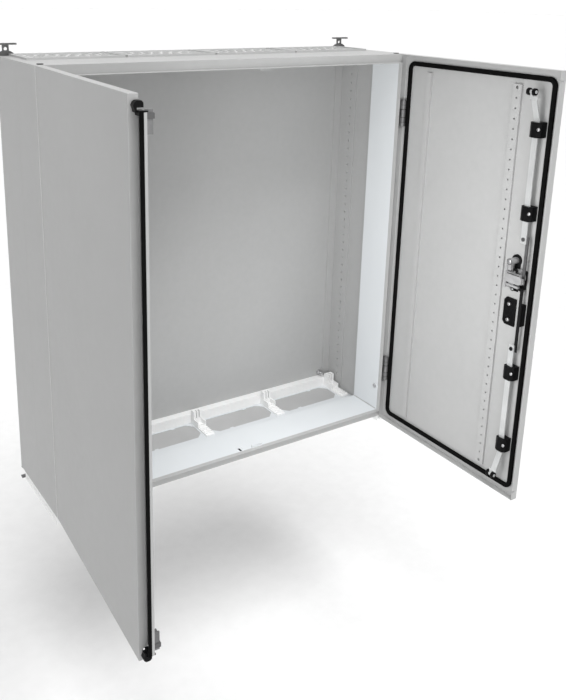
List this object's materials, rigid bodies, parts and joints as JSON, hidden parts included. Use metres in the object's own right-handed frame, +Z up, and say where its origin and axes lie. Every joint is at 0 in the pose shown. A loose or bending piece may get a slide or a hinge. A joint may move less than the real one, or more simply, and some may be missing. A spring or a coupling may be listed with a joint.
{
  "type": "two-door wall-mounted distribution cabinet",
  "caption": "Wall-mounted sheet-steel switchboard cabinet with twin hinged doors, perimeter seal, roller lock bars, cable entry plates and wall brackets.",
  "frame": {"origin": "centre of the four wall-fixing holes, on the wall plane", "axes": "+Y into the wall, +Z up, +X to the right seen from the front"},
  "size_m": [1.0984, 0.8316, 1.16],
  "materials": {
    "grey_paint": "fine textured powder coat, light grey",
    "white_plastic": "smooth moulded white",
    "grey_plastic": "smooth moulded, mid grey",
    "hinge_steel": "passivated zinc plate",
    "bracket_steel": "plated",
    "bar_steel": "zinc plated",
    "zinc_steel": "zinc plated",
    "cast_zinc": "bare zinc die casting",
    "seal_rubber": "foamed gasket",
    "black_plastic": "moulded, fine grain",
    "dark_steel": "black"
  },
  "bodies": {
    "cabinet": {"left_front_post": "grey_paint", "right_front_post": "grey_paint", "top_front_profile": "grey_paint", "bottom_front_profile": "grey_paint", "left_rear_side": "grey_paint", "right_rear_side": "grey_paint", "rear_top_sheet": "grey_paint", "rear_bottom_sheet": "grey_paint", "rear_wall": "grey_paint", "left_mounting_upright": "grey_paint", "right_mounting_upright": "grey_paint", "rear_top_rail": "white_plastic", "rear_bottom_rail": "white_plastic", "mounting_feet": "white_plastic", "top_flange_plates": "white_plastic", "bottom_flange_plates": "grey_plastic", "left_base_rail": "white_plastic", "right_base_rail": "white_plastic", "wall_brackets": "bracket_steel", "body_screws": "zinc_steel", "corner_plugs": "black_plastic", "left_body_hinges": "hinge_steel", "right_body_hinges": "hinge_steel", "hinge_pins": "hinge_steel"},
    "left_door": {"left_door_panel": "grey_paint", "left_door_seal": "seal_rubber", "meeting_profile": "grey_paint", "meeting_strip": "seal_rubber", "seal_end_blocks": "black_plastic", "bolt_guides": "hinge_steel", "left_door_hinges": "hinge_steel", "left_door_rail": "grey_paint", "left_door_rib": "grey_paint"},
    "right_door": {"right_door_panel": "grey_paint", "right_door_seal": "seal_rubber", "right_door_hinges": "hinge_steel", "right_door_rail": "grey_paint", "right_door_rib": "grey_paint", "rod_guides": "black_plastic", "lock_base": "dark_steel", "lock_cover": "cast_zinc", "fixing_plate": "black_plastic", "door_screws": "zinc_steel", "link_guide": "black_plastic", "handle_escutcheon": "black_plastic"},
    "upper_shoot_bolt": {"upper_shoot_bolt": "hinge_steel"},
    "lower_shoot_bolt": {"lower_shoot_bolt": "hinge_steel"},
    "lock_spindle": {"lock_spindle": "zinc_steel"},
    "swing_handle": {"swing_handle": "black_plastic"},
    "lock_barrel": {"lock_barrel": "zinc_steel"},
    "centre_bolt": {"centre_bolt": "zinc_steel"},
    "upper_bar": {"upper_lock_rod": "bar_steel", "upper_link": "zinc_steel"},
    "upper_roller_a": {"upper_roller_a": "black_plastic"},
    "upper_roller_b": {"upper_roller_b": "black_plastic"},
    "lower_bar": {"lower_lock_rod": "bar_steel", "lower_link": "dark_steel"},
    "lower_roller_a": {"lower_roller_a": "black_plastic"},
    "lower_roller_b": {"lower_roller_b": "black_plastic"}
  },
  "joints": [
    {"name": "left_door_hinge", "type": "hinge", "parent": "cabinet", "child": "left_door", "pos_m": [-0.5165, -0.2875, 0], "axis": [0, 0, 1], "range_deg": [-12, 93]},
    {"name": "right_door_hinge", "type": "hinge", "parent": "cabinet", "child": "right_door", "pos_m": [0.5165, -0.2875, 0], "axis": [0, 0, 1], "range_deg": [-90, 15]},
    {"name": "upper_shoot_bolt_slide", "type": "slide", "parent": "left_door", "child": "upper_shoot_bolt", "axis": [0, 0, 1], "range_m": [0, 0.02]},
    {"name": "lower_shoot_bolt_slide", "type": "slide", "parent": "left_door", "child": "lower_shoot_bolt", "axis": [0, 0, -1], "range_m": [0, 0.02]},
    {"name": "lock_spindle_turn", "type": "hinge", "parent": "right_door", "child": "lock_spindle", "pos_m": [0.52, -0.743, 0.045], "axis": [-1, 0, 0], "range_deg": [0, 90]},
    {"name": "swing_handle_lift", "type": "hinge", "parent": "lock_spindle", "child": "swing_handle", "pos_m": [0.5365, -0.743, 0.045], "axis": [0, 0, -1], "range_deg": [0, 40]},
    {"name": "lock_barrel_turn", "type": "hinge", "parent": "swing_handle", "child": "lock_barrel", "pos_m": [0.54, -0.626, 0.045], "axis": [-1, 0, 0], "range_deg": [0, 90]},
    {"name": "centre_bolt_slide", "type": "slide", "parent": "right_door", "child": "centre_bolt", "axis": [0, -1, 0], "range_m": [0, 0.0191]},
    {"name": "upper_bar_slide", "type": "slide", "parent": "right_door", "child": "upper_bar", "axis": [0, 0, 1], "range_m": [0, 0.0191]},
    {"name": "lower_bar_slide", "type": "slide", "parent": "right_door", "child": "lower_bar", "axis": [0, 0, -1], "range_m": [0, 0.0191]},
    {"name": "upper_roller_a_spin", "type": "hinge", "parent": "upper_bar", "child": "upper_roller_a", "pos_m": [0.49, -0.733, 0.498], "axis": [0, 1, 0], "continuous": true},
    {"name": "upper_roller_b_spin", "type": "hinge", "parent": "upper_bar", "child": "upper_roller_b", "pos_m": [0.49, -0.749, 0.498], "axis": [0, 1, 0], "continuous": true},
    {"name": "lower_roller_a_spin", "type": "hinge", "parent": "lower_bar", "child": "lower_roller_a", "pos_m": [0.49, -0.733, -0.498], "axis": [0, 1, 0], "continuous": true},
    {"name": "lower_roller_b_spin", "type": "hinge", "parent": "lower_bar", "child": "lower_roller_b", "pos_m": [0.49, -0.749, -0.498], "axis": [0, 1, 0], "continuous": true}
  ],
  "couplings": [
    {"joint": "centre_bolt_slide", "follows": "lock_spindle_turn", "m_per_rad": 0.012096},
    {"joint": "upper_bar_slide", "follows": "lock_spindle_turn", "m_per_rad": 0.012096},
    {"joint": "lower_bar_slide", "follows": "lock_spindle_turn", "m_per_rad": 0.012096}
  ]
}
